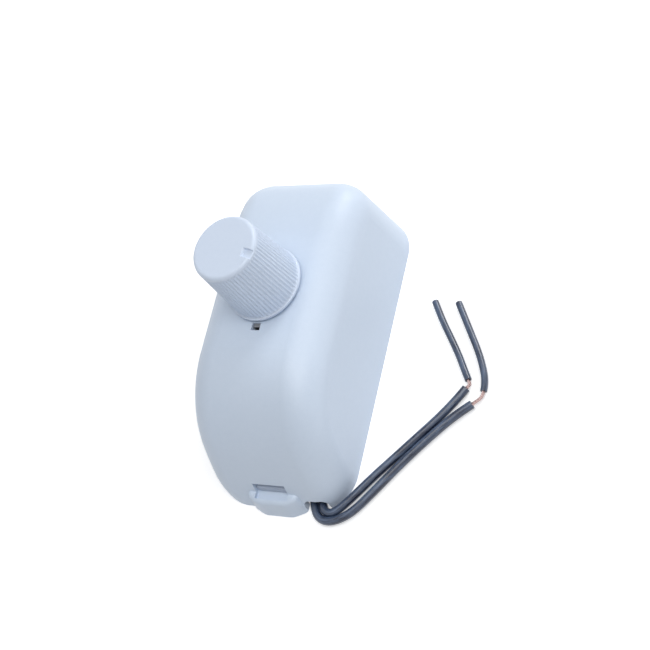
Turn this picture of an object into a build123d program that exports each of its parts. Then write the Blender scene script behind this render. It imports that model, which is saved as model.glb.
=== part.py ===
from build123d import *
import os
from math import cos, pi, radians, sin, tan

# Fan and light dimmer for a wall or switch board, in millimetres.
# It lies on its flat back: X is its width, Y runs up to its top end, and Z comes out of its front.
# The origin is the middle of the mounting face. The leads lie on the same surface as the back.

# Housing
body_width = 45.2
body_length = 93.2
body_depth = 35.0
wall = 2.0
draft = 3.0
plan_corner = 11.6
edge_round = 9.5
y_top = body_length / 2
y_bottom = -body_length / 2
# The front is flat from the crown to the knee, then falls in one long curve to the foot.
crown_y = 25.9
crown_radius = 38.6
crown_turn = 20.0
knee_y = -11.2
knee_radius = 31.2
knee_turn = 60.7
foot_y = y_bottom + 0.2
foot_z = 1.0

# Latch hood and window at the bottom end
hood_half = 4.8
hood_flank = 4.8
hood_reach = 2.4
hood_height = 6.9
hood_draft = 12.0
window_half = 5.4
window_low = 5.9
window_high = 10.0
window_lip_y = y_bottom + 0.4

# Notch in the back edge that the leads leave by
notch_x = 12.9
notch_width = 7.6
notch_height = 4.6
notch_round = 2.2
lead_exit_y = -44.5

# Back plate
plate_thick = 2.5
plate_gap = 0.3
wall_screw_spacing = 60.0
wall_screw_radius = 2.1
wall_slot_length = 8.0

# Knob and potentiometer axis
knob_y = 8.0
knob_base = body_depth + 0.8
knob_height = 23.0
flange_radius = 11.5
flange_thick = 1.2
grip_low_radius = 11.0
grip_high_radius = 9.9
face_round = 1.4
rib_count = 60
rib_depth = 0.35
pointer_angle = -12.0
pointer_width = 2.2
pointer_depth = 0.7

# Potentiometer, its levels measured inward from the inside of the front
front_inside = body_depth - wall
shaft_radius = 3.0
shaft_flat = 1.5
shaft_low = front_inside - 8.8
shaft_high = 53.0
hub_level = front_inside - 8.0
rotor_level = front_inside - 6.5
wiper_level = front_inside - 4.0
track_level = front_inside - 2.4
bushing_radius = 5.0
bushing_high = front_inside + 8.0
bushing_bore = 3.05
spigot_radius = 4.0
spigot_depth = 1.4
plate_skin = 1.0
case_radius = 12.0
case_skin = 0.6
case_depth = 10.0
lug_reach = 12.5
lug_width = 2.2
lug_thick = 1.1
slot_width = 2.8
slot_height = 2.2

# Circuit board
board_half_width = 18.0
board_low_y = -26.0
board_high_y = 36.0
board_back = 18.4
board_thick = 1.6
post_x = 13.6
post_y = 28.0
post_radius = 2.8
board_screw_radius = 1.1

# Leads
lead_diameter = 2.5
slug_diameter = 2.0
copper_diameter = 1.1

board_front = board_back + board_thick
case_back = front_inside - case_depth
knob_face = knob_base + knob_height


def housing_form(inset, floor):
    """Closed form of the housing, standing on z = floor, with every face moved in by inset."""
    with BuildPart() as form:
        with BuildSketch(Plane.YZ):
            with BuildLine():
                flat = Line((crown_y, body_depth), (knee_y, body_depth))
                knee = JernArc(flat @ 1, (-1, 0), knee_radius, knee_turn)
                slope = TangentArc(knee @ 1, (foot_y, foot_z), tangent=knee % 1)
                toe = Line(slope @ 1, slope @ 1 + (slope % 1) * 8)
                crown = JernArc(flat @ 0, (1, 0), crown_radius, -crown_turn)
                brow = Line(crown @ 1, crown @ 1 + (crown % 1) * 12)
                Polyline(toe @ 1, ((toe @ 1).X, -10), ((brow @ 1).X, -10), brow @ 1)
            make_face()
            if inset:
                offset(amount=-inset)
        extrude(amount=body_width, both=True)
        with BuildSketch(Plane.XY.offset(floor)):
            RectangleRounded(body_width - 2 * inset, body_length - 2 * inset, plan_corner - inset)
        extrude(amount=body_depth - floor + 2, taper=draft, mode=Mode.INTERSECT)
        front = form.faces().filter_by(lambda face: face.normal_at(face.center()).Z > 0.3)
        sides = form.faces().filter_by(lambda face: abs(face.normal_at(face.center()).Z) < 0.2)
        rim = front.edges() & sides.edges()
        fillet(rim, radius=edge_round - inset)
    return form.part


def save(part, name):
    """Label one finished piece and write it to its own file."""
    part.label = name
    export_step(part, f"parts/{name}.step")


def cord(points, diameter, name):
    """Round tube along straight runs joined by the largest tangent arcs that fit."""
    route = [Vector(*point) for point in points]
    runs = [b - a for a, b in zip(route, route[1:])]
    radii = []
    for before, after in zip(runs, runs[1:]):
        half_turn = radians(before.get_angle(after)) / 2
        radii.append(0.45 * min(before.length, after.length) / tan(half_turn))
    with BuildPart() as tube:
        with BuildLine() as path:
            FilletPolyline(*route, radius=radii)
        with BuildSketch(Plane(origin=route[0], z_dir=runs[0])):
            Circle(diameter / 2)
        sweep()
    length = sum(edge.length for edge in path.edges())
    share = tube.part.volume / (length * pi * diameter ** 2 / 4)
    print(name, "length", round(length, 1), "volume share", round(share, 4))
    print("  radii", [round(radius, 1) for radius in radii])
    return tube.part


os.makedirs("parts", exist_ok=True)

# Latch hood: a low drafted bulge that grows out of the bottom end
with BuildPart() as hood:
    with BuildSketch():
        with BuildLine():
            Polyline(
                (-hood_half - hood_flank - 0.4, y_bottom + 8),
                (-hood_half - hood_flank, y_bottom - 0.2),
                (-hood_half, y_bottom - hood_reach),
                (hood_half, y_bottom - hood_reach),
                (hood_half + hood_flank, y_bottom - 0.2),
                (hood_half + hood_flank + 0.4, y_bottom + 8),
                close=True,
            )
        make_face()
    extrude(amount=hood_height, taper=hood_draft)
    corners = hood.edges().filter_by_position(Axis.Z, 0.5, hood_height - 0.5).sort_by(Axis.Y)
    fillet(corners[:2], radius=6)
    corners = hood.edges().filter_by_position(Axis.Z, 0.5, hood_height - 0.5).sort_by(Axis.Y)
    fillet(corners[4:6], radius=3)
    fillet(hood.faces().sort_by(Axis.Z)[-1].edges().sort_by(Axis.Y)[:-1], radius=1.4)

# Cover: a drafted shell with a rounded front, a latch hood and the holes that it needs
with BuildPart() as cover:
    add(housing_form(0, 0))
    add(hood.part)
    add(housing_form(wall, -1), mode=Mode.SUBTRACT)
    # Window for the latch
    with BuildSketch(Plane.XY.offset(window_low)):
        with Locations((0, window_lip_y)):
            Rectangle(2 * window_half, 12, align=(Align.CENTER, Align.MIN))
    extrude(amount=window_high - window_low, mode=Mode.SUBTRACT)
    # Notch for the leads
    with BuildSketch(Plane.XZ.offset(-y_bottom - 5)) as notch_face:
        with Locations((notch_x, -1)):
            Rectangle(notch_width, notch_height + 1, align=(Align.CENTER, Align.MIN))
        fillet(notch_face.vertices().group_by(Axis.Y)[-1], radius=notch_round)
    extrude(amount=12, mode=Mode.SUBTRACT)
    # Bushing hole and the slot for the potentiometer's locating lug
    with Locations((0, knob_y, body_depth)):
        Hole(radius=bushing_radius + 0.15, depth=wall + 1)
    with BuildSketch(Plane.XY.offset(front_inside - 1)):
        with Locations((0, knob_y - lug_reach - 0.2)):
            Rectangle(slot_width, slot_height)
    extrude(amount=wall + 2, mode=Mode.SUBTRACT)
    # Posts that the circuit board is screwed to
    with BuildSketch(Plane.XY.offset(board_front)):
        with Locations((-post_x, post_y), (post_x, post_y)):
            Circle(post_radius)
    extrude(amount=front_inside - board_front + 0.2)
    with BuildSketch(Plane.XY.offset(board_front)):
        with Locations((-post_x, post_y), (post_x, post_y)):
            Circle(board_screw_radius)
    extrude(amount=9, mode=Mode.SUBTRACT)
    # Ribs that the back plate stops against, and the catches for its two hooks
    with BuildSketch(Plane.XY.offset(plate_thick)):
        with GridLocations(body_width - 2 * wall - 0.4, 40, 2, 2):
            Rectangle(2.0, 8)
    extrude(amount=4)
    with BuildSketch(Plane.XY.offset(5.0)):
        with Locations((-8, y_top - wall - 0.6), (8, y_top - wall - 0.6)):
            Rectangle(6, 2.0)
    extrude(amount=1.5)
save(cover.part, "cover")

# Back plate: a flat plate that follows the inside of the cover, with a latch tongue and two hooks
tongue_y = y_bottom + 4.8
with BuildPart() as back_plate:
    with BuildSketch():
        Rectangle(body_width, body_length)
    extrude(amount=plate_thick)
    add(housing_form(wall + plate_gap, -1), mode=Mode.INTERSECT)
    with BuildSketch():
        with Locations((notch_x - 0.5, y_bottom)):
            Rectangle(notch_width + 1.6, 11, align=(Align.CENTER, Align.MIN))
        with Locations((0, -wall_screw_spacing / 2), (0, wall_screw_spacing / 2)):
            SlotOverall(wall_slot_length, 2 * wall_screw_radius, rotation=90)
    extrude(amount=plate_thick, mode=Mode.SUBTRACT)
    with BuildSketch(Plane.YZ):
        with BuildLine():
            Polyline(
                (tongue_y, 0),
                (tongue_y, window_low + 0.4),
                (tongue_y - 1.7, window_low + 0.4),
                (tongue_y - 1.3, window_low + 2.0),
                (tongue_y + 0.1, window_low + 2.0),
                (tongue_y + 1.0, window_high - 0.5),
                (tongue_y + 2.8, window_high - 0.5),
                (tongue_y + 2.6, window_low + 0.4),
                (tongue_y + 1.8, 0),
                close=True,
            )
        make_face()
    extrude(amount=window_half - 0.5, both=True)
    with BuildSketch(Plane.YZ):
        with BuildLine():
            Polyline(
                (y_top - 5.6, 0),
                (y_top - 5.6, 9.0),
                (y_top - 4.2, 9.0),
                (y_top - 3.0, 6.9),
                (y_top - 4.2, 6.9),
                (y_top - 4.2, 0),
                close=True,
            )
        make_face()
    hook = extrude(amount=2.5, both=True, mode=Mode.PRIVATE)
    with Locations((-8, 0), (8, 0)):
        add(hook)
save(back_plate.part, "back_plate")

# Knob: a drafted, ribbed grip over a thin smooth flange, with a notch in the face as its pointer
grip_base = knob_base + flange_thick
grip_slope = (grip_low_radius - grip_high_radius) / (knob_face - grip_base)
with BuildPart() as rib_groove:
    with BuildSketch(Plane.XY.offset(grip_base)):
        with Locations((grip_low_radius, 0)):
            RegularPolygon(radius=rib_depth * 1.15, side_count=4, major_radius=True)
    with BuildSketch(Plane.XY.offset(knob_face - face_round - 0.5)):
        with Locations((grip_low_radius - grip_slope * (knob_height - flange_thick - face_round - 0.5), 0)):
            RegularPolygon(radius=rib_depth * 1.15, side_count=4, major_radius=True)
    loft(ruled=True)
with BuildPart() as knob:
    with BuildSketch(Plane.XZ) as knob_profile:
        with BuildLine():
            Polyline(
                (0, knob_base),
                (flange_radius, knob_base),
                (flange_radius, grip_base),
                (grip_low_radius, grip_base),
                (grip_high_radius, knob_face),
                (0, knob_face),
                close=True,
            )
        make_face()
        fillet(knob_profile.vertices().group_by(Axis.Y)[-1].sort_by(Axis.X)[-1], radius=face_round)
    revolve(axis=Axis.Z)
    with PolarLocations(0, rib_count, start_angle=pointer_angle + 180 / rib_count):
        add(rib_groove.part, mode=Mode.SUBTRACT)
    # Pointer notch across the edge of the face
    with BuildSketch(Plane.XY.offset(knob_face)):
        with PolarLocations(grip_high_radius - 0.6, 1, start_angle=pointer_angle):
            Rectangle(4.4, pointer_width)
    extrude(amount=-pointer_depth, mode=Mode.SUBTRACT)
    # Recess over the nut, relief over the bushing, and the bore with its flat for the shaft
    with BuildSketch(Plane.XY.offset(knob_base)):
        Circle(9.2)
    extrude(amount=3.4, mode=Mode.SUBTRACT)
    with BuildSketch(Plane.XY.offset(knob_base)):
        Circle(bushing_radius + 0.6)
    extrude(amount=bushing_high - knob_base + 0.8, mode=Mode.SUBTRACT)
    with BuildSketch(Plane.XY.offset(knob_base)) as shaft_bore:
        Circle(shaft_radius)
        with Locations((shaft_flat + 2, 0)):
            Rectangle(4, 8, mode=Mode.SUBTRACT)
    extrude(amount=shaft_high - knob_base + 0.3, mode=Mode.SUBTRACT)
knob_part = Pos(0, knob_y, 0) * knob.part
save(knob_part, "knob")

# Potentiometer shaft: round through the bushing, with a flat where the knob sits
with BuildPart() as pot_shaft:
    with BuildSketch(Plane.XY.offset(shaft_low)):
        with Locations((0, knob_y)):
            Circle(shaft_radius)
    extrude(amount=shaft_high - shaft_low)
    with BuildSketch(Plane.XY.offset(wiper_level)):
        with Locations((0, knob_y)):
            Circle(shaft_radius + 1.0)
    extrude(amount=2.2)
    with BuildSketch(Plane.XY.offset(bushing_high + 0.5)):
        with Locations((shaft_flat + 2, knob_y)):
            Rectangle(4, 8)
    extrude(amount=shaft_high - bushing_high, mode=Mode.SUBTRACT)
    chamfer(pot_shaft.faces().sort_by(Axis.Z)[0].edges(), length=0.4)
save(pot_shaft.part, "pot_shaft")

# Rotor: moulded disc on the shaft that carries the wiper
with BuildPart() as pot_rotor:
    with BuildSketch(Plane.XY.offset(rotor_level)):
        with Locations((0, knob_y)):
            Circle(10.3)
            Circle(shaft_radius, mode=Mode.SUBTRACT)
    extrude(amount=wiper_level - rotor_level)
    with BuildSketch(Plane.XY.offset(hub_level)):
        with Locations((0, knob_y)):
            Circle(4.6)
            Circle(shaft_radius, mode=Mode.SUBTRACT)
    extrude(amount=rotor_level - hub_level)
save(pot_rotor.part, "pot_rotor")

# Wiper: spring strip on the rotor with one finger up to the track
wiper_reach = 8.4
wiper_skin = 0.3
wiper_x = wiper_reach * cos(radians(pointer_angle + 180))
wiper_y = knob_y + wiper_reach * sin(radians(pointer_angle + 180))
with BuildPart() as pot_wiper:
    with BuildSketch(Plane.XY.offset(wiper_level)):
        with Locations((0, knob_y)):
            Circle(9.4)
            Circle(5.0, mode=Mode.SUBTRACT)
    extrude(amount=wiper_skin)
    with BuildSketch(Plane.XY.offset(wiper_level + wiper_skin)):
        with Locations((wiper_x, wiper_y)):
            Circle(0.8)
    extrude(amount=track_level - wiper_level - wiper_skin - 0.4)
save(pot_wiper.part, "pot_wiper")

# Case: pressed dish behind the front wall, open at the side where the terminals leave
with BuildPart() as pot_case:
    with BuildSketch(Plane.XY.offset(case_back)):
        with Locations((0, knob_y)):
            Circle(case_radius)
    extrude(amount=case_depth - plate_skin)
    fillet(pot_case.faces().sort_by(Axis.Z)[0].edges(), radius=0.8)
    with BuildSketch(Plane.XY.offset(case_back + case_skin)):
        with Locations((0, knob_y)):
            Circle(case_radius - case_skin)
    extrude(amount=case_depth, mode=Mode.SUBTRACT)
    with BuildSketch(Plane.XY.offset(track_level - 0.8)):
        with Locations((0, knob_y - case_radius)):
            Rectangle(14, 6)
    extrude(amount=3, mode=Mode.SUBTRACT)
save(pot_case.part, "pot_case")

# Mounting plate with the locating lug that stands through the cover
with BuildPart() as pot_plate:
    with BuildSketch(Plane.XY.offset(front_inside - plate_skin)):
        with Locations((0, knob_y)):
            Circle(case_radius)
        with Locations((0, knob_y - lug_reach + lug_thick)):
            Rectangle(lug_width, 2 * lug_thick)
        with Locations((0, knob_y)):
            Circle(spigot_radius, mode=Mode.SUBTRACT)
    extrude(amount=plate_skin)
    with BuildSketch(Plane.XY.offset(front_inside)):
        with Locations((0, knob_y - lug_reach + 0.35)):
            Rectangle(lug_width, lug_thick)
    extrude(amount=wall - 0.5)
save(pot_plate.part, "pot_plate")

# Bushing: threaded neck through the cover, spigot through the mounting plate
with BuildPart() as pot_bushing:
    with BuildSketch(Plane.XY.offset(front_inside)):
        with Locations((0, knob_y)):
            Circle(bushing_radius)
    extrude(amount=bushing_high - front_inside)
    chamfer(pot_bushing.faces().sort_by(Axis.Z)[-1].edges(), length=0.5)
    with BuildSketch(Plane.XY.offset(front_inside - spigot_depth)):
        with Locations((0, knob_y)):
            Circle(spigot_radius)
    extrude(amount=spigot_depth)
    with BuildSketch(Plane.XY.offset(front_inside - 2)):
        with Locations((0, knob_y)):
            Circle(bushing_bore)
    extrude(amount=bushing_high, mode=Mode.SUBTRACT)
save(pot_bushing.part, "pot_bushing")

washer_thick = 0.6
with BuildPart() as pot_washer:
    with BuildSketch(Plane.XY.offset(body_depth)):
        with Locations((0, knob_y)):
            Circle(8.3)
            Circle(bushing_radius + 0.15, mode=Mode.SUBTRACT)
    extrude(amount=washer_thick)
save(pot_washer.part, "pot_washer")

with BuildPart() as pot_nut:
    with BuildSketch(Plane.XY.offset(body_depth + washer_thick)):
        with Locations((0, knob_y)):
            RegularPolygon(radius=7.0, side_count=6, major_radius=False)
            Circle(bushing_radius, mode=Mode.SUBTRACT)
    extrude(amount=2.0)
save(pot_nut.part, "pot_nut")

# Track: flat wafer with a horseshoe gap towards the terminals
terminal_thick = 0.6
with BuildPart() as pot_track:
    with BuildSketch(Plane.XY.offset(track_level)):
        with Locations((0, knob_y)):
            Circle(11.2)
            Circle(5.2, mode=Mode.SUBTRACT)
    extrude(amount=front_inside - plate_skin - track_level)
    with BuildSketch(Plane.XY.offset(track_level)):
        with Locations((0, knob_y - 10.5)):
            Rectangle(13, 4.2)
    extrude(amount=terminal_thick, mode=Mode.SUBTRACT)
save(pot_track.part, "pot_track")

# Three terminals: out of the case at its lower side, then down into the board
terminal_pitch = 5.0
terminal_y = knob_y - case_radius - 4.0
for index in range(3):
    terminal_x = (index - 1) * terminal_pitch
    with BuildPart() as terminal:
        with BuildSketch(Plane.XY.offset(track_level)):
            with Locations((terminal_x, terminal_y - terminal_thick / 2)):
                Rectangle(2.2, 7.0, align=(Align.CENTER, Align.MIN))
        extrude(amount=terminal_thick)
        with BuildSketch(Plane.XY.offset(board_front)):
            with Locations((terminal_x, terminal_y)):
                Rectangle(2.2, terminal_thick)
        extrude(amount=track_level + terminal_thick - board_front)
        with BuildSketch(Plane.XY.offset(board_back - 1.2)):
            with Locations((terminal_x, terminal_y)):
                Rectangle(1.0, terminal_thick)
        extrude(amount=3.2)
    save(terminal.part, f"pot_terminal_{index + 1}")

# Circuit board with the holes that the pins, wires and screws pass
triac_y = 13.5
sink_thick = 1.2
tab_thick = 1.3
pin_pitch = 2.54
pin_y = triac_y - 2.5
bolt_y = triac_y + 12.8
bolt_radius = 1.5
tab_back = board_back - sink_thick
pin_level = tab_back - 2.9
lead_pads = ((11.9, -20.0), (14.7, -20.0))
axial_parts = {"resistor_1": (-16.0, 1.6, 9.0), "resistor_2": (-12.5, 1.2, 6.5), "diac": (-22.0, 1.0, 4.0)}
axial_x = -5.0
with BuildPart() as circuit_board:
    with BuildSketch(Plane.XY.offset(board_back)):
        with Locations((0, (board_low_y + board_high_y) / 2)):
            RectangleRounded(2 * board_half_width, board_high_y - board_low_y, 3)
        with Locations((-post_x, post_y), (post_x, post_y)):
            Circle(1.5, mode=Mode.SUBTRACT)
        with Locations((-terminal_pitch, terminal_y), (0, terminal_y), (terminal_pitch, terminal_y)):
            Circle(0.75, mode=Mode.SUBTRACT)
        with Locations(*lead_pads):
            Circle(0.75, mode=Mode.SUBTRACT)
        with Locations((-pin_pitch, pin_y), (0, pin_y), (pin_pitch, pin_y)):
            Circle(0.6, mode=Mode.SUBTRACT)
        with Locations((0, bolt_y)):
            Circle(bolt_radius + 0.2, mode=Mode.SUBTRACT)
    extrude(amount=board_thick)
save(circuit_board.part, "circuit_board")

# Screws that hold the board to the posts
screw_head = 1.6
for index, side in enumerate((-1, 1)):
    with BuildPart() as board_screw:
        with BuildSketch(Plane.XY.offset(board_back)):
            with Locations((side * post_x, post_y)):
                Circle(board_screw_radius)
        extrude(amount=board_thick + 7.0)
        with BuildSketch(Plane.XY.offset(board_back - screw_head)):
            with Locations((side * post_x, post_y)):
                Circle(2.4)
        extrude(amount=screw_head)
        fillet(board_screw.faces().sort_by(Axis.Z)[0].edges(), radius=0.8)
        with BuildSketch(Plane.XY.offset(board_back - screw_head)):
            with Locations((side * post_x, post_y)):
                Rectangle(2.6, 0.6)
                Rectangle(0.6, 2.6)
        extrude(amount=0.8, mode=Mode.SUBTRACT)
    save(board_screw.part, f"board_screw_{index + 1}")

# Triac lying on its heat sink, under the board
with BuildPart() as heat_sink:
    with BuildSketch(Plane.XY.offset(tab_back)):
        with Locations((0, triac_y + 9.3)):
            RectangleRounded(21, 19, 1)
        with Locations((0, bolt_y)):
            Circle(bolt_radius + 0.2, mode=Mode.SUBTRACT)
    extrude(amount=sink_thick)
    with BuildSketch(Plane.XY.offset(tab_back - 8)):
        with Locations((-10, triac_y + 9.3), (10, triac_y + 9.3)):
            Rectangle(1.0, 17)
    extrude(amount=8)
save(heat_sink.part, "heat_sink")

with BuildPart() as triac_tab:
    with BuildSketch(Plane.XY.offset(tab_back - tab_thick)):
        with Locations((0, triac_y + 0.6)):
            Rectangle(10, 15.0, align=(Align.CENTER, Align.MIN))
        with Locations((0, bolt_y)):
            Circle(bolt_radius + 0.35, mode=Mode.SUBTRACT)
    extrude(amount=tab_thick)
save(triac_tab.part, "triac_tab")

with BuildPart() as triac_body:
    with BuildSketch(Plane.XY.offset(tab_back - 4.5)):
        with Locations((0, triac_y)):
            Rectangle(10.2, 9.2, align=(Align.CENTER, Align.MIN))
    extrude(amount=3.2)
    chamfer(triac_body.faces().sort_by(Axis.Z)[0].edges(), length=0.5)
save(triac_body.part, "triac_body")

for index in range(3):
    pin_x = (index - 1) * pin_pitch
    with BuildPart() as triac_pin:
        with BuildSketch(Plane.XY.offset(pin_level)):
            with Locations((pin_x, triac_y)):
                Rectangle(0.8, triac_y - pin_y + 0.3, align=(Align.CENTER, Align.MAX))
        extrude(amount=0.6)
        with BuildSketch(Plane.XY.offset(pin_level)):
            with Locations((pin_x, pin_y)):
                Rectangle(0.8, 0.6)
        extrude(amount=board_front + 1.2 - pin_level)
    save(triac_pin.part, f"triac_pin_{index + 1}")

with BuildPart() as triac_screw:
    with BuildSketch(Plane.XY.offset(tab_back - tab_thick - 2.2)):
        with Locations((0, bolt_y)):
            Circle(2.7)
    extrude(amount=2.2)
    fillet(triac_screw.faces().sort_by(Axis.Z)[0].edges(), radius=0.8)
    with BuildSketch(Plane.XY.offset(tab_back - tab_thick)):
        with Locations((0, bolt_y)):
            Circle(bolt_radius)
    extrude(amount=board_front + 3.0 - tab_back + tab_thick)
save(triac_screw.part, "triac_screw")

with BuildPart() as triac_nut:
    with BuildSketch(Plane.XY.offset(board_front)):
        with Locations((0, bolt_y)):
            RegularPolygon(radius=2.75, side_count=6, major_radius=False)
            Circle(bolt_radius, mode=Mode.SUBTRACT)
    extrude(amount=2.3)
save(triac_nut.part, "triac_nut")

# Box capacitors under the board, soft-edged as moulded cases are
capacitors = {
    "filter_capacitor": (-12.8, 0.0, 7.0, 18.0, 13.0),
    "timing_capacitor": (10.5, -3.0, 10.0, 5.0, 9.0),
}
for name, (x, y, size_x, size_y, height) in capacitors.items():
    with BuildPart() as capacitor:
        with BuildSketch(Plane.XY.offset(board_back - height)):
            with Locations((x, y)):
                RectangleRounded(size_x, size_y, 0.8)
        extrude(amount=height)
        fillet(capacitor.faces().sort_by(Axis.Z)[0].edges(), radius=0.7)
    save(capacitor.part, name)

# Axial parts lie on the back of the board, each with its two bent wires
for name, (y, body_radius, body_span) in axial_parts.items():
    body_z = board_back - body_radius - 0.3
    foot_x = body_span / 2 + 1.8
    with BuildPart() as axial:
        with BuildSketch(Plane.YZ.offset(axial_x - body_span / 2)):
            with Locations((y, body_z)):
                Circle(body_radius)
        extrude(amount=body_span)
        fillet(axial.edges().filter_by(GeomType.CIRCLE), radius=0.5)
        with BuildLine():
            FilletPolyline(
                (axial_x - foot_x, y, board_back),
                (axial_x - foot_x, y, body_z),
                (axial_x + foot_x, y, body_z),
                (axial_x + foot_x, y, board_back),
                radius=0.8,
            )
        with BuildSketch(Plane(origin=(axial_x - foot_x, y, board_back), z_dir=(0, 0, -1))):
            Circle(0.3)
        sweep()
    save(axial.part, name)

# Leads inside the housing: from the board, down past the back plate's slot and into the notch
lead_z = lead_diameter / 2
exit_a = (11.3, lead_exit_y, lead_z)
exit_b = (14.1, lead_exit_y, lead_z)
inner_routes = {
    "inner_lead_a": [
        (*lead_pads[0], board_back),
        (*lead_pads[0], 14.5),
        (11.3, -22.0, 10.8),
        (10.5, -26.5, 7.8),
        (10.0, -32.0, 6.0),
        (9.8, -37.0, 3.4),
        (10.05, -41.125, lead_z),
        exit_a,
    ],
    "inner_lead_b": [
        (*lead_pads[1], board_back),
        (*lead_pads[1], 14.5),
        (14.2, -22.0, 10.8),
        (13.4, -26.5, 7.8),
        (12.9, -32.0, 6.0),
        (12.6, -37.0, 3.4),
        (12.7, -41.3, lead_z),
        exit_b,
    ],
}
for name, route in inner_routes.items():
    save(cord(route, lead_diameter, name), name)

# Free leads: out of the notch, round the corner in a tight bend, then side by side over the surface
end_a = (54.2, -12.4, lead_z)
end_b = (51.4, -7.6, lead_z)
lead_routes = {
    "lead_a": [
        exit_a,
        (12.3, -47.2, lead_z),
        (14.6, -49.5, lead_z),
        (17.7, -50.1, lead_z),
        (21.2, -48.7, lead_z),
        (25.1, -45.3, lead_z),
        (30.1, -39.0, lead_z),
        (36.4, -30.9, lead_z),
        (43.6, -22.4, lead_z),
        (49.6, -16.2, lead_z),
        end_a,
    ],
    "lead_b": [
        exit_b,
        (14.8, -46.1, lead_z),
        (16.4, -47.2, lead_z),
        (18.4, -47.0, lead_z),
        (20.6, -45.2, lead_z),
        (23.9, -41.6, lead_z),
        (28.6, -35.8, lead_z),
        (33.5, -30.1, lead_z),
        (38.8, -23.9, lead_z),
        (44.6, -17.4, lead_z),
        (48.9, -11.6, lead_z),
        end_b,
    ],
}
for name, route in lead_routes.items():
    save(cord(route, lead_diameter, name), name)

# Bared copper between each lead and the slug of insulation slid along it
slug_z = slug_diameter / 2
slug_start_a = (56.8, -8.3, slug_z)
slug_start_b = (51.1, -5.1, slug_z)
copper_routes = {
    "copper_a": [end_a, (55.58, -11.26, lead_z), (56.8, -9.9, slug_z), slug_start_a],
    "copper_b": [end_b, (51.9, -6.8, lead_z), (51.6, -5.9, slug_z), slug_start_b],
}
for name, route in copper_routes.items():
    save(cord(route, copper_diameter, name), name)

slug_routes = {
    "slug_a": [
        slug_start_a,
        (56.8, -5.4, slug_z),
        (55.4, -0.9, slug_z),
        (52.6, 3.9, slug_z),
        (49.6, 8.9, slug_z),
        (46.4, 14.1, slug_z),
        (43.3, 19.2, slug_z),
    ],
    "slug_b": [
        slug_start_b,
        (49.4, -2.38, slug_z),
        (46.7, 2.2, slug_z),
        (43.0, 7.7, slug_z),
        (39.4, 13.4, slug_z),
        (36.1, 19.1, slug_z),
    ],
}
for name, route in slug_routes.items():
    save(cord(route, slug_diameter, name), name)
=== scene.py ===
# %% [markdown]
# # A fan and light dimmer
# The real object is a surface-mounted dimmer: a moulded cover, a ribbed knob on a
# potentiometer's shaft, and two black leads with their insulation cut and slid
# along the copper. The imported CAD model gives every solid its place. This lesson
# builds the leads, the copper and the knob as numpy grids, in place of their plain
# solids, and gives every piece its finish.

import bpy
import numpy as np
from mathutils import Matrix


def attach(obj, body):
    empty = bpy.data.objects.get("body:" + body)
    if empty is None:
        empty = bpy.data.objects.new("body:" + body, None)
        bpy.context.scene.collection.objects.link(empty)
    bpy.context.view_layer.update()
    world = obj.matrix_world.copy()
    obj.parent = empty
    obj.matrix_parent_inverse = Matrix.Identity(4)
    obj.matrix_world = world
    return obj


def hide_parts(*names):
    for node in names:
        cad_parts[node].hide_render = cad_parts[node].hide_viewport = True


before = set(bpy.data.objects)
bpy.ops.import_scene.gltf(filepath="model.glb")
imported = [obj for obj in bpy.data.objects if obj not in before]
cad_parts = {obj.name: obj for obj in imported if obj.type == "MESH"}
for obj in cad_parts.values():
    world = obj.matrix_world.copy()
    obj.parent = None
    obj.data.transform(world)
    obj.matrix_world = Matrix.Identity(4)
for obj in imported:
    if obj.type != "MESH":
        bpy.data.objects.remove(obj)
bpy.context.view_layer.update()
MM = 0.001

# %% [markdown]
# ## The camera
# The photograph looks down on the dimmer from its lower right. A camera needs a
# place, a direction of view and a direction for its upper edge. These three come
# from matching the housing's outline in the photograph, so they are written as
# vectors, and one function turns vectors into the matrix that an object wants.

# %% Camera
CAMERA_AT = np.array([222.7, -138.6, 342.0]) * MM
CAMERA_LOOK = np.array([-0.513, 0.345, -0.786])
CAMERA_UP = np.array([-0.016, 0.912, 0.41])
CAMERA_LENS = 79.5
SENSOR = 36.0
CLIP_NEAR, CLIP_FAR = 0.01, 20.0


def aimed(at, look, up):
    """The matrix of an object at a point whose -Z axis is look and whose +Y is nearest to up."""
    back = -look / np.linalg.norm(look)
    side = np.cross(up, back)
    side /= np.linalg.norm(side)
    matrix = np.eye(4)
    matrix[:3, 0], matrix[:3, 1], matrix[:3, 2] = side, np.cross(back, side), back
    matrix[:3, 3] = at
    return Matrix(matrix.tolist())


lens = bpy.data.cameras.new("camera")
lens.lens, lens.sensor_width = CAMERA_LENS, SENSOR
lens.clip_start, lens.clip_end = CLIP_NEAR, CLIP_FAR
camera = bpy.data.objects.new("camera", lens)
bpy.context.scene.collection.objects.link(camera)
camera.matrix_world = aimed(CAMERA_AT, CAMERA_LOOK, CAMERA_UP)
bpy.context.scene.camera = camera
print("lens", CAMERA_LENS, "mm, camera", np.round(CAMERA_AT, 3), "m")

# %% [markdown]
# ## Shader maths as Python
# A node tree is arithmetic drawn as boxes. Wrapping an output socket in a small
# class with operators lets that arithmetic be written as an expression instead, and
# each operator adds the Math node that does it.


# %% An output socket
class Wire:
    """An output socket that can be used in arithmetic: a + b, a - b, a * b and 1 - a add Math nodes."""

    def __init__(self, finish, socket):
        self.finish, self.socket = finish, socket

    def math(self, operation, *terms):
        return self.finish.node("ShaderNodeMath", {"operation": operation}, dict(enumerate(terms)))

    def __add__(self, other):
        return self.math("ADD", self, other)

    def __sub__(self, other):
        return self.math("SUBTRACT", self, other)

    def __rsub__(self, other):
        return self.math("SUBTRACT", other, self)

    def __mul__(self, other):
        return self.math("MULTIPLY", self, other)

    __radd__, __rmul__ = __add__, __mul__

    def clamped(self):
        """The value held between 0 and 1."""
        return self.math("MINIMUM", self.math("MAXIMUM", self, 0.0), 1.0)


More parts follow.
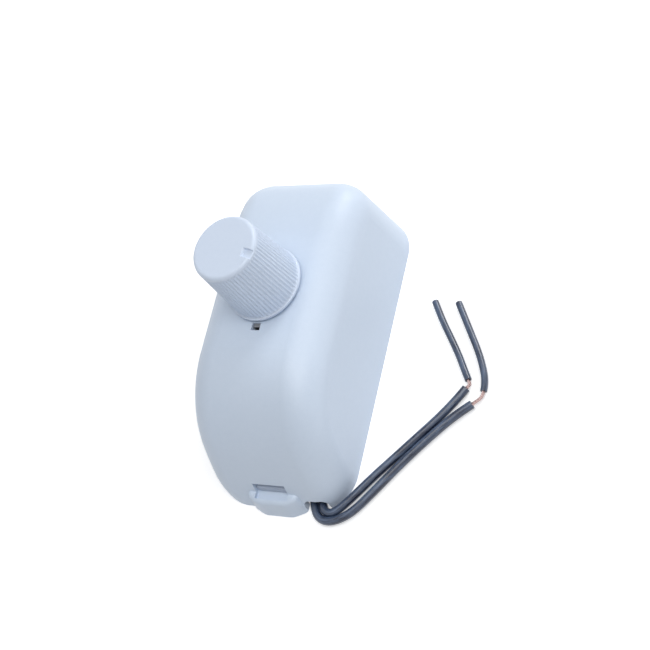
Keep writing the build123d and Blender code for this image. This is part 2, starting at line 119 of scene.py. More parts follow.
print("wires can be added, subtracted, multiplied and clamped")

# %% [markdown]
# The nodes themselves come from one method that takes a node's type, its settings
# and its sockets' values. A finish is a material while it is being written. A Mix
# node has sockets for numbers, vectors and colours side by side, so the colour ones
# are found by their numbers.

# %% A finish
MIX_FACTOR, MIX_LOW, MIX_HIGH, MIX_RESULT = 0, 6, 7, 2


class Finish:
    """The shader nodes of a material, or of the world, that end in the shader of the given name."""

    def __init__(self, owner, shader="Principled BSDF"):
        owner.use_nodes = True
        self.owner, self.tree = owner, owner.node_tree
        self.shader = self.tree.nodes[shader]

    def node(self, kind, settings=None, values=None, out=0):
        """Adds a node: its settings first, then its sockets' values or links. Gives its output out."""
        made = self.tree.nodes.new(kind)
        for key, value in (settings or {}).items():
            setattr(made, key, value)
        for key, value in (values or {}).items():
            self.put(made.inputs[key], value)
        return Wire(self, made.outputs[out])

    def put(self, socket, value):
        """Gives a socket a link, where value is a Wire, or else the plain value."""
        if isinstance(value, Wire):
            self.tree.links.new(value.socket, socket)
        else:
            socket.default_value = value

    def place(self):
        """The point being shaded, in the object's own metres."""
        return self.node("ShaderNodeTexCoord", out="Object")

    def noise(self, scale, detail=3.0, roughness=0.5, at=None, stretch=None):
        """Fractal noise from 0 to 1; scale is in patches per metre, stretch squeezes it along an axis."""
        at = at or self.place()
        if stretch:
            at = self.node("ShaderNodeMapping", {}, {"Vector": at, "Scale": stretch})
        values = {"Vector": at, "Scale": scale, "Detail": detail, "Roughness": roughness}
        return self.node("ShaderNodeTexNoise", {}, values, out="Fac")

    def mix(self, mask, low, high):
        """Colour low where mask is 0 and high where it is 1."""
        values = {MIX_FACTOR: mask, MIX_LOW: low, MIX_HIGH: high}
        return self.node("ShaderNodeMix", {"data_type": "RGBA"}, values, out=MIX_RESULT)

    def bump(self, height, distance, strength):
        """A normal bent by a height from 0 to 1, in steps of distance metres."""
        values = {"Height": height, "Distance": distance, "Strength": strength}
        return self.node("ShaderNodeBump", {}, values, out="Normal")

    def shade(self, **values):
        """Sets the shader's sockets, base_color=... for Base Color and so on, and gives the owner."""
        for key, value in values.items():
            self.put(self.shader.inputs[key.replace("_", " ").title()], value)
        return self.owner


def srgb(red, green, blue):
    """A screen colour of 0 to 255 a channel as the linear one that a shader takes."""
    share = np.array([red, green, blue]) / 255.0
    linear = np.where(share <= 0.04045, share / 12.92, ((share + 0.055) / 1.055) ** 2.4)
    return (*linear.tolist(), 1.0)


print("a mid grey is", np.round(srgb(128, 128, 128), 3))

# %% [markdown]
# ## Grids that become meshes
# A parametric surface is an array of points with two indices. Joining each point to
# the next along both indices makes quads, and foreach_set hands whole arrays to the
# mesh, so that no Python loop ever visits a vertex. Where a grid closes to a point,
# a fan of triangles joins its last ring to that pole.


# %% Mesh helpers
def quads(rows, columns, closed_rows=False, closed_columns=False):
    """Quads between neighbours of a rows by columns grid, wrapping round where an index is closed."""
    row = np.arange(rows if closed_rows else rows - 1)[:, None]
    column = np.arange(columns if closed_columns else columns - 1)[None, :]
    down, right = (row + 1) % rows, (column + 1) % columns
    corners = [row * columns + column, row * columns + right, down * columns + right, down * columns + column]
    return np.stack(np.broadcast_arrays(*corners), -1).reshape(-1, 4)


def fan(pole, ring):
    """Triangles from a pole to each pair of neighbours round a closed ring of point numbers."""
    return np.stack([np.full(len(ring), pole), ring, np.roll(ring, -1)], -1)


def mesh_piece(name, points, faces, material, body, grain=None):
    """A mesh object from an array of points in metres and a list of face arrays, riding on a body.
    Grain is a vector for each point, kept as the attribute wire_grain for materials to read."""
    mesh = bpy.data.meshes.new(name)
    loops = np.concatenate([face.ravel() for face in faces]).astype(np.int32)
    counts = np.concatenate([np.full(len(face), face.shape[1]) for face in faces]).astype(np.int32)
    mesh.vertices.add(len(points))
    mesh.vertices.foreach_set("co", np.asarray(points, np.float32).ravel())
    mesh.loops.add(len(loops))
    mesh.loops.foreach_set("vertex_index", loops)
    mesh.polygons.add(len(counts))
    mesh.polygons.foreach_set("loop_start", np.concatenate([[0], np.cumsum(counts)[:-1]]).astype(np.int32))
    mesh.polygons.foreach_set("loop_total", counts)
    mesh.polygons.foreach_set("use_smooth", np.ones(len(counts), bool))
    mesh.update(calc_edges=True)
    mesh.validate()
    if grain is not None:
        kept = mesh.attributes.new("wire_grain", "FLOAT_VECTOR", "POINT")
        kept.data.foreach_set("vector", np.asarray(grain, np.float32).ravel())
    mesh.materials.append(material)
    made = bpy.data.objects.new(name, mesh)
    bpy.context.scene.collection.objects.link(made)
    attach(made, body)
    print(f"{name}: {len(points)} points, {len(counts)} faces")
    return made


print("a grid of 3 by 4 points has", len(quads(3, 4)), "quads, and the fan on its last row has",
      len(fan(12, np.arange(8, 12))), "triangles")

# %% [markdown]
# ## The plastic
# The housing is injection-moulded in a cool white, with the very fine spark texture
# of its tool. That is three noises: a slow cloud, a mottle of a millimetre or two, and
# a speck finer than that. Together they shift the colour by a few levels of the
# screen's 255. The finer two bend the normal, and the speck alone breaks the gloss.

# %% Moulded plastic
CLOUD, MOTTLE, SPECK = 55.0, 650.0, 2600.0
SPARK_HEIGHT = 0.05 * MM


def moulded(name, light, dark, roughness=0.42):
    """Satin moulded plastic. Its colour runs from dark to light with
    0.5 + 1.8 * (0.3 cloud + 0.5 mottle + 0.2 speck - 0.5), held between 0 and 1."""
    finish = Finish(bpy.data.materials.new(name))
    cloud = finish.noise(CLOUD, detail=2.0)
    mottle = finish.noise(MOTTLE, detail=3.0, roughness=0.6)
    speck = finish.noise(SPECK, detail=2.0, roughness=0.6)
    tone = ((cloud * 0.3 + mottle * 0.5 + speck * 0.2 - 0.5) * 1.8 + 0.5).clamped()
    return finish.shade(
        base_color=finish.mix(tone, dark, light),
        roughness=(speck - 0.5) * 0.16 + roughness,
        normal=finish.bump(speck * 0.5 + mottle * 0.5, SPARK_HEIGHT, 0.35),
    )


COVER_WHITE = moulded("cover_plastic", srgb(210, 223, 240), srgb(204, 218, 236))
KNOB_WHITE = moulded("knob_plastic", srgb(211, 223, 241), srgb(205, 218, 237), roughness=0.38)
PLATE_WHITE = moulded("plate_plastic", srgb(196, 206, 222), srgb(188, 198, 215), roughness=0.5)
print("plastics:", COVER_WHITE.name, KNOB_WHITE.name, PLATE_WHITE.name)

# %% [markdown]
# ## The leads
# Both leads leave the notch side by side, turn sharply round the foot of the cover
# and run up beside it. Past each cut end a little copper shows, and then the slug of
# insulation that was slid along it. All of it lies on the floor, so a route is a list
# of places seen from above, in millimetres, and its height is the wire's radius. The
# copper steps down from the lead's height to the thinner slug's.

# %% Routes of the leads
LEAD_R, SLUG_R = 1.25 * MM, 1.0 * MM
LEAD_A = [
    (11.3, -44.5), (12.2, -47.0), (14.3, -49.0), (17.2, -49.5), (20.8, -48.3), (24.7, -45.4),
    (29.7, -39.05), (36.0, -30.7), (43.2, -22.25), (49.2, -15.9), (53.9, -12.2),
]
LEAD_B = [
    (14.1, -44.5), (14.7, -46.0), (16.2, -47.0), (18.0, -46.8), (20.2, -45.0), (23.5, -41.25),
    (28.2, -35.35), (33.1, -29.85), (38.4, -23.75), (44.2, -17.25), (48.6, -11.5), (51.1, -7.5),
]
SLUG_A = [(56.4, -8.2), (56.4, -5.3), (54.7, -0.75), (52.3, 4.0), (49.2, 9.0), (46.0, 14.2), (43.1, 18.9)]
SLUG_B = [(51.15, -5.0), (49.45, -2.3), (46.75, 2.3), (43.0, 7.8), (38.9, 13.5), (35.5, 19.2)]
COPPER_A = [(53.9, -12.2, 1.25), (55.2, -11.1, 1.25), (56.4, -9.8, 1.0), (56.4, -8.2, 1.0)]
COPPER_B = [(51.1, -7.5, 1.25), (51.9, -6.7, 1.25), (51.75, -5.85, 1.0), (51.15, -5.0, 1.0)]


def flat(route, radius):
    """A route that lies on the floor: every point a radius up, in metres."""
    return np.array([(x * MM, y * MM, radius) for x, y in route])


print("lead A has", len(LEAD_A), "control points, lead B", len(LEAD_B))

# %% [markdown]
# A NURBS spline guided by a few control points makes the smooth line of a soft wire.
# Blender works it out as a curve, and its points are read back. To carry a ring along
# the line, each point then needs two directions square to it. The wire lies down, so
# one of them can always be level, which also keeps the ring from twisting.

# %% Lines and their frames
SPLINE_ORDER, SPLINE_STEPS = 3, 16


def spline_line(route):
    """The points of a NURBS spline of order 3 guided by a route's control points, ends included."""
    curve = bpy.data.curves.new("route", "CURVE")
    curve.dimensions = "3D"
    spline = curve.splines.new("NURBS")
    spline.points.add(len(route) - 1)
    spline.points.foreach_set("co", np.hstack([route, np.ones((len(route), 1))]).ravel())
    spline.order_u, spline.use_endpoint_u = SPLINE_ORDER, True
    spline.resolution_u = SPLINE_STEPS
    holder = bpy.data.objects.new("route", curve)
    bpy.context.scene.collection.objects.link(holder)
    bpy.context.view_layer.update()
    line = bpy.data.meshes.new_from_object(holder.evaluated_get(bpy.context.evaluated_depsgraph_get()))
    points = np.zeros(len(line.vertices) * 3)
    line.vertices.foreach_get("co", points)
    bpy.data.objects.remove(holder)
    bpy.data.curves.remove(curve)
    bpy.data.meshes.remove(line)
    return points.reshape(-1, 3)


def frames_along(line):
    """At each point of a line: its distance from the start, and two directions square to the line.
    The sideways one is level, the cross product of up and the line's direction."""
    step = np.gradient(line, axis=0)
    step /= np.linalg.norm(step, axis=1, keepdims=True)
    side = np.cross([0.0, 0.0, 1.0], step)
    side /= np.linalg.norm(side, axis=1, keepdims=True)
    away = np.concatenate([[0], np.cumsum(np.linalg.norm(np.diff(line, axis=0), axis=1))])
    return away, side, np.cross(step, side)


def line_length(line):
    """The length of a line of points."""
    return float(np.linalg.norm(np.diff(line, axis=0), axis=1).sum())


print("lead A's line is", round(line_length(spline_line(flat(LEAD_A, LEAD_R))) / MM, 1), "mm long")

# %% [markdown]
# ## The insulation
# A knife leaves a clean cut with a barely rounded rim, and the bore shows where the
# copper is gone. So the insulation is a tube with a wall. Its section is a closed
# loop, and the loop is turned round the wire's line as on a lathe that bends.

# %% The sleeve of insulation
BORE_R, SLUG_BORE_R = 0.56 * MM, 0.504 * MM
CUT_ROUND = 0.12 * MM
CUT_RINGS = 5
GRAIN_STEP = 9.0 * MM
LEAD_SIDES, SLUG_SIDES = 40, 32


def sleeve(name, line, radius, bore, material, around):
    """A tube with a wall. Its profile, how far along and how far out, goes over one rounded rim, along the
    skin, over the other rim and back along the bore. A profile point at distance a along and o out makes the
    ring line(a) + o * (cos(turn) * side(a) + sin(turn) * up(a))."""
    away, side, up = frames_along(line)
    turn = np.linspace(0, 2 * np.pi, around, endpoint=False)
    bend = np.linspace(0, np.pi / 2, CUT_RINGS)
    rim = radius - CUT_ROUND + CUT_ROUND * np.sin(bend)
    inset = CUT_ROUND - CUT_ROUND * np.cos(bend)
    along = np.concatenate([inset, away[1:-1], away[-1] - inset[::-1], away[::-1]])
    out = np.concatenate([rim, np.full(len(away) - 2, radius), rim[::-1], np.full(len(away), bore)])
    centre, across, above = (
        np.stack([np.interp(along, away, values[:, k]) for k in range(3)], -1) for values in (line, side, up)
    )
    ring = across[:, None] * np.cos(turn)[None, :, None] + above[:, None] * np.sin(turn)[None, :, None]
    points = centre[:, None] + out[:, None, None] * ring
    lengthwise = np.repeat(along[:, None] / GRAIN_STEP, around, axis=1)
    grain = np.stack([np.cos(turn) + 0 * lengthwise, np.sin(turn) + 0 * lengthwise, lengthwise], -1)
    faces = quads(len(along), around, closed_rows=True, closed_columns=True)
    return mesh_piece(name, points.reshape(-1, 3), [faces], material, "base", grain.reshape(-1, 3))


print("the insulation's wall is", round((LEAD_R - BORE_R) / MM, 2), "mm thick")

# %% [markdown]
# The insulation is dark slate PVC. Drawn wire has pale streaks along its length, so
# its noise is read at wire_grain: the cosine and sine of the angle round the wire, and
# the distance along it in steps of 9 mm. That closes the pattern round the wire and
# draws it out lengthwise, however the wire bends. The inner leads keep their CAD
# meshes, which have no such attribute, so their noise is read in plain space.

# %% PVC
STREAKS, INNER_PATCHES, PVC_SPECK = 1.7, 900.0, 3800.0
PVC_HEIGHT = 0.06 * MM


def drawn_pvc(name, light, dark, along_wire=True):
    """Extruded PVC: pale streaks, where 3.4 * (streak - 0.4) is above 0, that are also duller."""
    finish = Finish(bpy.data.materials.new(name))
    if along_wire:
        at = finish.node("ShaderNodeAttribute", {"attribute_name": "wire_grain"}, out="Vector")
        streak = finish.noise(STREAKS, detail=4.0, roughness=0.65, at=at)
    else:
        streak = finish.noise(INNER_PATCHES, detail=4.0, roughness=0.65)
    speck = finish.noise(PVC_SPECK, detail=2.0)
    return finish.shade(
        base_color=finish.mix(((streak - 0.4) * 3.4).clamped(), dark, light),
        roughness=(streak - 0.5) * 0.35 + 0.3,
        coat_weight=0.35,
        coat_roughness=0.2,
        normal=finish.bump(streak * 0.7 + speck * 0.3, PVC_HEIGHT, 0.5),
    )


PVC = drawn_pvc("lead_pvc", srgb(82, 99, 126), srgb(30, 40, 62))
PVC_INSIDE = drawn_pvc("inner_lead_pvc", srgb(60, 72, 96), srgb(38, 49, 72), along_wire=False)
print("insulation:", PVC.name, PVC_INSIDE.name)

# %% [markdown]
# ## The bared copper
# Handled copper is dull and a little pink, with darker patches where it has
# tarnished. One noise moves its colour and its gloss together: the brighter a
# patch, the rougher it is.

# %% Copper
COPPER_PATCHES = 2200.0
copper = Finish(bpy.data.materials.new("bare_copper"))
bright = copper.noise(COPPER_PATCHES, detail=3.0)
COPPER = copper.shade(
    base_color=copper.mix(bright, srgb(158, 132, 130), srgb(208, 186, 183)),
    metallic=1.0,
    roughness=bright * 0.2 + 0.3,
)
print("copper:", COPPER.name)

# %% [markdown]
# The conductor is a bunch of fine strands. Six wind round a seventh: each strand's
# line is the route moved off its middle by a turning arm, and a small ring carried
# along it makes the strand. A straight bit at each end takes the bunch a little way
# into both sleeves.

# %% The bunch of strands
STRANDS, STRAND_SIDES = 7, 10
STRAND_R, STRAND_ARM, STRAND_TURN, TUCK = 0.165 * MM, 0.335 * MM, 6.0 * MM, 1.2 * MM


def tucked(line):
    """The line with a straight bit added at each end, to reach into the sleeves."""
    back = line[0] - line[1]
    on = line[-1] - line[-2]
    start = line[0] + back / np.linalg.norm(back) * TUCK
    end = line[-1] + on / np.linalg.norm(on) * TUCK
    return np.concatenate([[start], line, [end]])


def bunch(name, line, material):
    """Seven closed strands. Strand k of the outer six has its middle at the line plus
    arm * (cos(a) * side + sin(a) * up), with a = 60 k degrees + 360 degrees * distance / turn."""
    away, side, up = frames_along(line)
    arm = np.array([0.0] + [STRAND_ARM] * (STRANDS - 1))[:, None, None]
    angle = (np.arange(STRANDS)[:, None] - 1) * np.pi / 3 + 2 * np.pi * away[None, :] / STRAND_TURN
    middle = line[None] + arm * (np.cos(angle)[..., None] * side[None] + np.sin(angle)[..., None] * up[None])
    turn = np.linspace(0, 2 * np.pi, STRAND_SIDES, endpoint=False)
    ring = side[:, None] * np.cos(turn)[None, :, None] + up[:, None] * np.sin(turn)[None, :, None]
    skin = (middle[:, :, None] + STRAND_R * ring[None]).reshape(STRANDS, -1, 3)
    points = np.concatenate([skin, middle[:, :1], middle[:, -1:]], axis=1)
    near_pole, far_pole = skin.shape[1], skin.shape[1] + 1
    first_ring = np.arange(STRAND_SIDES)
    last_ring = first_ring + near_pole - STRAND_SIDES
    ends = np.concatenate([fan(near_pole, first_ring[::-1]), fan(far_pole, last_ring)])
    walls = quads(len(line), STRAND_SIDES, closed_columns=True)
    starts = (np.arange(STRANDS) * points.shape[1])[:, None, None]
    faces = [(walls + starts).reshape(-1, 4), (ends + starts).reshape(-1, 3)]
    return mesh_piece(name, points.reshape(-1, 3), faces, material, "base")


print("the bunch of strands is", round(2 * (STRAND_ARM + STRAND_R) / MM, 2), "mm across")

# %% [markdown]
# ## Laying both leads
# The two leads differ only in their routes, so one loop lays both. Each new piece
# takes the place of its plain CAD solid, which is hidden.

# %% Lay both leads
ROUTES = {"a": (LEAD_A, SLUG_A, COPPER_A), "b": (LEAD_B, SLUG_B, COPPER_B)}
for letter, (lead_route, slug_route, bare_route) in ROUTES.items():
    line = spline_line(flat(lead_route, LEAD_R))
    slug_line = spline_line(flat(slug_route, SLUG_R))
    bare_line = tucked(spline_line(np.array(bare_route) * MM))
    lead = sleeve(f"lead_{letter}_sleeve", line, LEAD_R, BORE_R, PVC, LEAD_SIDES)
    slug = sleeve(f"slug_{letter}_sleeve", slug_line, SLUG_R, SLUG_BORE_R, PVC, SLUG_SIDES)
    bare = bunch(f"copper_{letter}_strands", bare_line, COPPER)
    for piece, node in ((lead, "lead"), (slug, "slug"), (bare, "copper")):
        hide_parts(f"{node}_{letter}")

# %% [markdown]
# ## The knob
# The knob is a body of revolution with sixty fine ribs. Its surface is one grid: the
# angle round the axis, and the distance along a profile. The profile starts in the
# middle of the face and goes over the rounded edge, down the ribbed grip and round
# the flange. Then it passes under the flange, up the recess that clears the nut, up
# the relief round the bushing, and up the bore for the shaft, so that the knob is
# closed below as well.

# %% Knob sizes
KNOB_X, KNOB_Y = 0.0, 8.0 * MM
KNOB_BASE, KNOB_FACE = 35.8 * MM, 58.8 * MM
FLANGE_R, FLANGE_TOP, FLANGE_LIP = 11.5 * MM, 36.7 * MM, 0.3 * MM
GRIP_LOW_R, GRIP_TOP_R, FACE_ROUND = 11.1 * MM, 9.9 * MM, 1.1 * MM
RECESS_R, RECESS_TOP = 9.2 * MM, 39.2 * MM
RELIEF_R, RELIEF_TOP = 5.6 * MM, 41.8 * MM
BORE_WALL_R, BORE_END = 3.05 * MM, 53.3 * MM
CORNER_CUT = 0.1 * MM
FACE_RINGS, EDGE_RINGS, GRIP_RINGS, LIP_RINGS = 45, 11, 41, 5
print("the knob is", round((KNOB_FACE - KNOB_BASE) / MM, 1), "mm tall and", 2 * FLANGE_R / MM, "mm across")


# %% The knob's profile
def corners_cut(places):
    """Two points in place of each inner point of a line, a small cut before it and after it."""
    before, at, after = places[:-2], places[1:-1], places[2:]
    back = (before - at) / np.linalg.norm(before - at, axis=1, keepdims=True)
    on = (after - at) / np.linalg.norm(after - at, axis=1, keepdims=True)
    return np.stack([at + CORNER_CUT * back, at + CORNER_CUT * on], 1).reshape(-1, 2)


def knob_profile():
    """Radius and height round the knob's section. The face and the grip are straight lines, and the
    face's edge and the flange's lip are quarter circles: r0 + r sin(bend) out, r (1 - cos(bend)) down."""
    face_r, grip_top = GRIP_TOP_R - FACE_ROUND, KNOB_FACE - FACE_ROUND
    face = np.linspace(0, face_r, FACE_RINGS + 1)[1:]
    edge = np.linspace(0, np.pi / 2, EDGE_RINGS + 1)[1:]
    down = np.linspace(0, 1, GRIP_RINGS + 1)[1:]
    lip = np.linspace(0, np.pi / 2, LIP_RINGS + 1)[1:]
    under = corners_cut(np.array([
        (FLANGE_R, FLANGE_TOP - FLANGE_LIP), (FLANGE_R, KNOB_BASE), (RECESS_R, KNOB_BASE),
        (RECESS_R, RECESS_TOP), (RELIEF_R, RECESS_TOP), (RELIEF_R, RELIEF_TOP),
        (BORE_WALL_R, RELIEF_TOP), (BORE_WALL_R, BORE_END), (0.0, BORE_END),
    ]))
    radius = [
        face, face_r + FACE_ROUND * np.sin(edge), GRIP_TOP_R + (GRIP_LOW_R - GRIP_TOP_R) * down,
        FLANGE_R - FLANGE_LIP + FLANGE_LIP * np.sin(lip), under[:, 0],
    ]
    height = [
        np.full(FACE_RINGS, KNOB_FACE), KNOB_FACE - FACE_ROUND * (1 - np.cos(edge)),
        grip_top + (FLANGE_TOP - grip_top) * down, FLANGE_TOP - FLANGE_LIP * (1 - np.cos(lip)), under[:, 1],
    ]
    return np.concatenate(radius), np.concatenate(height)


print("the knob's profile has", len(knob_profile()[0]), "points")

# %% [markdown]
# The ribs are a cosine of the angle, raised to a power so that the ribs are wide and
# the grooves between them narrow. They fade in above the flange and out below the
# face. The pointer is a notch in the face's edge: inside it, nothing stands above its
# floor. Both are changes to the same grid, so no Boolean is needed.

# %% The knob's surface
RIBS, RIB_DEPTH, GROOVE_POWER = 60, 0.3 * MM, 1.3
RIBS_START, RIBS_FULL = FLANGE_TOP + 0.05 * MM, FLANGE_TOP + 0.9 * MM
RIBS_FADE, RIBS_END = 56.6 * MM, 57.7 * MM
RIBS_INNER_R = GRIP_TOP_R - 0.2 * MM
COLUMNS_PER_RIB = 12
POINTER_TURN, POINTER_HALF, POINTER_START = np.radians(-12.0), 1.2 * MM, 6.7 * MM
POINTER_FLOOR = KNOB_FACE - 0.7 * MM
POINTER_SOFT_END, POINTER_SOFT_SIDE = 0.15 * MM, 0.14 * MM


def smooth_step(low, high, value):
    """0 below low, 1 above high, and between them 3 s^2 - 2 s^3 of the share s."""
    share = np.clip((value - low) / (high - low), 0, 1)
    return share * share * (3 - 2 * share)


def knob_points(columns):
    """The profile turned round the axis, with r less by depth * (0.5 - 0.5 cos(60 turn)) ^ 1.3 where
    the ribs are, and z brought down to the pointer's floor where the pointer is."""
    radius, height = knob_profile()
    turn = np.linspace(0, 2 * np.pi, columns, endpoint=False)
    r, t = np.meshgrid(radius, turn, indexing="ij")
    z = np.repeat(height[:, None], columns, axis=1)
    groove = (0.5 - 0.5 * np.cos(RIBS * t)) ** GROOVE_POWER
    ribbed = smooth_step(RIBS_START, RIBS_FULL, z) * (1 - smooth_step(RIBS_FADE, RIBS_END, z))
    r = r - RIB_DEPTH * groove * ribbed * (r > RIBS_INNER_R)
    along, across = r * np.cos(t - POINTER_TURN), r * np.sin(t - POINTER_TURN)
    far_out = smooth_step(POINTER_START - POINTER_SOFT_END, POINTER_START + POINTER_SOFT_END, along)
    side_low, side_high = POINTER_HALF - POINTER_SOFT_SIDE, POINTER_HALF + POINTER_SOFT_SIDE
    inside = far_out * (1 - smooth_step(side_low, side_high, np.abs(across)))
    z = z - inside * np.maximum(z - POINTER_FLOOR, 0)
    return np.stack([KNOB_X + r * np.cos(t), KNOB_Y + r * np.sin(t), z], -1)


grid = knob_points(RIBS * COLUMNS_PER_RIB)
print("the knob's grid is", grid.shape[0], "rings of", grid.shape[1], "points")

# %% [markdown]
# The grid starts with a small ring on the face and ends with one at the bore's end,
# and a fan to a pole closes each. The rows run down the outside while the columns
# turn anticlockwise, which would make the quads face inwards, so their corners are
# taken in reverse. The knob rides on the dial, the body that turns.

# %% Make the knob
rows, columns = grid.shape[:2]
poles = np.array([[KNOB_X, KNOB_Y, KNOB_FACE], [KNOB_X, KNOB_Y, BORE_END]])
face_ring = np.arange(columns)
bore_ring = face_ring + (rows - 1) * columns
caps = np.concatenate([fan(rows * columns, face_ring), fan(rows * columns + 1, bore_ring[::-1])])
walls = quads(rows, columns, closed_columns=True)[:, ::-1]
knob_skin = np.concatenate([grid.reshape(-1, 3), poles])
knob = mesh_piece("knob_ribbed", knob_skin, [walls, caps], KNOB_WHITE, "dial")
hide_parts("knob")

# %% [markdown]
# ## Finishes of the parts that the CAD already shapes
# The cover, the back plate, the board and what is on it keep their CAD meshes. Most of
# the inner parts never show, so each finish of theirs is one noise that moves the
# colour and the gloss together: plated steel, phenolic board, dipped capacitors and so
# on. Of the metal ones only the potentiometer's plate shows, where its locating lug
# stands in the slot, and it is dull.

# %% Finishes of the inner parts
GLOSS_DRIFT = 0.15
SURFACE_HEIGHT = 0.02 * MM


def inner_finish(name, light, dark, patches, roughness, metallic=0.0, stretch=None):
    """A finish whose colour, gloss and fine bumps follow one noise of so many patches per metre.
    Dark and light are linear colours."""
    finish = Finish(bpy.data.materials.new(name))
    cloud = finish.noise(patches, stretch=stretch)
    return finish.shade(
        base_color=finish.mix(cloud, (*dark, 1), (*light, 1)),
        metallic=metallic,
        roughness=(cloud - 0.5) * GLOSS_DRIFT + roughness,
        normal=finish.bump(cloud, SURFACE_HEIGHT, 0.3),
    )


ROLLED = (1, 12, 1)
STEEL = inner_finish("plated_steel", (0.72, 0.72, 0.74), (0.55, 0.55, 0.58), 900.0, 0.3, 1.0)
DULL_ZINC = inner_finish("dull_zinc", (0.3, 0.31, 0.33), (0.2, 0.21, 0.23), 900.0, 0.5, 1.0)
BRASS = inner_finish("brass", (0.8, 0.62, 0.3), (0.62, 0.45, 0.2), 900.0, 0.32, 1.0)
ALUMINIUM = inner_finish("aluminium_sheet", (0.85, 0.86, 0.88), (0.7, 0.71, 0.74), 500.0, 0.35, 1.0, ROLLED)
PHENOLIC = inner_finish("phenolic_board", (0.5, 0.33, 0.16), (0.36, 0.22, 0.1), 700.0, 0.5)
EPOXY = inner_finish("black_epoxy", (0.04, 0.04, 0.045), (0.02, 0.02, 0.024), 1200.0, 0.45)
DIPPED = inner_finish("dipped_capacitor", (0.62, 0.16, 0.06), (0.45, 0.1, 0.04), 300.0, 0.25)
LACQUER = inner_finish("resistor_lacquer", (0.62, 0.52, 0.36), (0.5, 0.4, 0.26), 400.0, 0.4)
DIAC_BLUE = inner_finish("diac_lacquer", (0.1, 0.22, 0.5), (0.06, 0.14, 0.36), 400.0, 0.25)
CARBON = inner_finish("carbon_track", (0.06, 0.06, 0.06), (0.02, 0.02, 0.02), 900.0, 0.6)
print("the lug's finish is", DULL_ZINC.name)

# %% [markdown]
# A CAD node comes with one material slot. Putting the finish in that slot keeps the
# mesh as it is, so this step is only a list of which piece has which finish.

# %% Give each CAD piece its finish
PIECES_OF = [
    (COVER_WHITE, ["cover"]),
    (PLATE_WHITE, ["back_plate"]),
    (PHENOLIC, ["circuit_board", "pot_rotor"]),
    (PVC_INSIDE, ["inner_lead_a", "inner_lead_b"]),
    (ALUMINIUM, ["heat_sink", "pot_shaft"]),
    (BRASS, ["pot_bushing", "pot_nut", "pot_wiper"]),
    (DULL_ZINC, ["pot_plate"]),
    (CARBON, ["pot_track"]),
    (STEEL, [
        "board_screw_1", "board_screw_2", "pot_case", "pot_washer",
        "pot_terminal_1", "pot_terminal_2", "pot_terminal_3",
        "triac_tab", "triac_nut", "triac_screw", "triac_pin_1", "triac_pin_2", "triac_pin_3",
    ]),
    (EPOXY, ["triac_body"]),
    (DIPPED, ["filter_capacitor", "timing_capacitor"]),
    (LACQUER, ["resistor_1", "resistor_2"]),
    (DIAC_BLUE, ["diac"]),
]
for finish, nodes in PIECES_OF:
    for node in nodes:
        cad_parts[node].data.materials[0] = finish
print("finished", sum(len(nodes) for _, nodes in PIECES_OF), "CAD nodes")

# %% [markdown]
# ## The floor
# A product is often photographed on a floor that runs into a white background.
# The floor's own glow grows with the distance from the object, so that it fades into
# the white behind it with no horizon, and near the object its shadow stays. Rays that
# come straight from the camera, off a gloss or through glass see that glow, and rays
# that carry light to the object don't. The Light Path node tells them apart.


# %% Floor
def seen_plainly(finish):
    """1 for rays from the camera, off a gloss or through glass, and 0 for rays that carry light."""
    straight = finish.node("ShaderNodeLightPath", out="Is Camera Ray")
    glossy = finish.node("ShaderNodeLightPath", out="Is Glossy Ray")
    through = finish.node("ShaderNodeLightPath", out="Is Transmission Ray")
    return (straight + glossy + through).clamped()


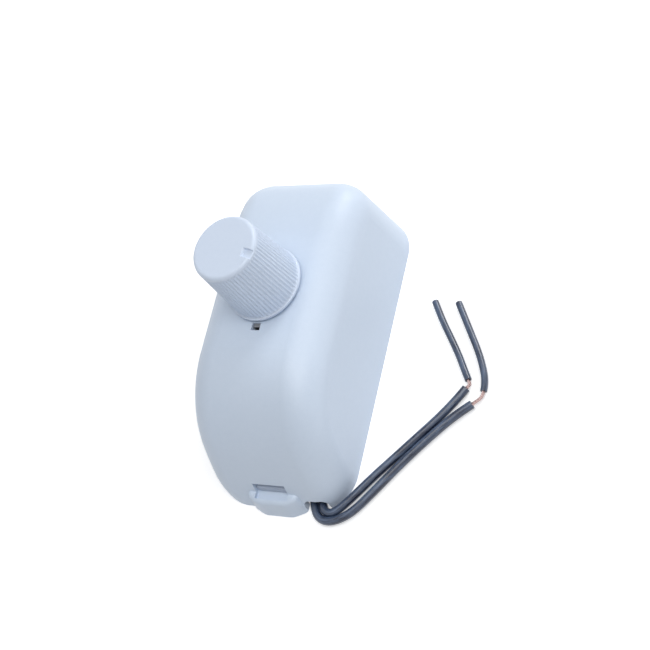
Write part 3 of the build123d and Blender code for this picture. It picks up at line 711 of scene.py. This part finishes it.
FLOOR_HALF, FLOOR_HEIGHT, FLOOR_PATCHES = 1.5, -0.1 * MM, 6.0
FADE_FROM, FADE_RATE = 0.16, 2.2
GLOW_NEAR, GLOW_GROWTH = 0.38, 0.65
sheet = Finish(bpy.data.materials.new("studio_floor"))
away = sheet.node("ShaderNodeVectorMath", {"operation": "LENGTH"}, {0: sheet.place()}, out="Value")
faded = ((away - FADE_FROM) * FADE_RATE).clamped()
drift = sheet.noise(FLOOR_PATCHES, detail=2.0)
STUDIO_WHITE = sheet.shade(
    base_color=sheet.mix(drift, (0.88, 0.885, 0.895, 1), (0.9, 0.902, 0.91, 1)),
    roughness=0.9,
    emission_color=seen_plainly(sheet) * (faded * GLOW_GROWTH + GLOW_NEAR),
    emission_strength=1.0,
)
floor_corners = np.array([(-1, -1), (1, -1), (1, 1), (-1, 1)]) * FLOOR_HALF
floor_mesh = bpy.data.meshes.new("floor")
floor_mesh.from_pydata([(x, y, FLOOR_HEIGHT) for x, y in floor_corners], [], [(0, 1, 2, 3)])
floor_mesh.materials.append(STUDIO_WHITE)
floor = bpy.data.objects.new("floor", floor_mesh)
bpy.context.scene.collection.objects.link(floor)
print("the floor is", 2 * FLOOR_HALF, "m wide")

# %% [markdown]
# ## The lamps and the world
# Three large square lamps, aimed at the middle of the floor, stand to the right,
# overhead and past the top end. The rounded edge between front and side then is the
# brightest line, and the lower front falls away into shade. The world is white to the
# camera, and its weak light fills the shadows.

# %% Lamps
LAMPS = [
    ("right", (0.62, -0.1, 1.05), 0.6, 4.3),
    ("overhead", (0.0, 0.05, 1.2), 0.6, 3.3),
    ("past_the_top", (0.42, 1.0, 0.55), 0.5, 6.0),
]
LAMP_UP = np.array([0.0, 0.0, 1.0])
for name, at, size, watts in LAMPS:
    light = bpy.data.lights.new(name, "AREA")
    light.shape, light.size, light.energy = "SQUARE", size, watts
    lamp = bpy.data.objects.new(name, light)
    bpy.context.scene.collection.objects.link(lamp)
    lamp.matrix_world = aimed(np.array(at), -np.array(at), LAMP_UP)
    print("lamp", name, "of", watts, "W,", round(float(np.linalg.norm(at)), 2), "m away")

# %% World
WORLD_FILL = 0.29
world = bpy.data.worlds.new("studio")
bpy.context.scene.world = world
sky = Finish(world, "Background")
sky.shade(color=(1.0, 1.0, 1.0, 1.0), strength=seen_plainly(sky) * (1.0 - WORLD_FILL) + WORLD_FILL)
bpy.context.scene.view_settings.view_transform = "Standard"
print("the world lights with a strength of", WORLD_FILL)
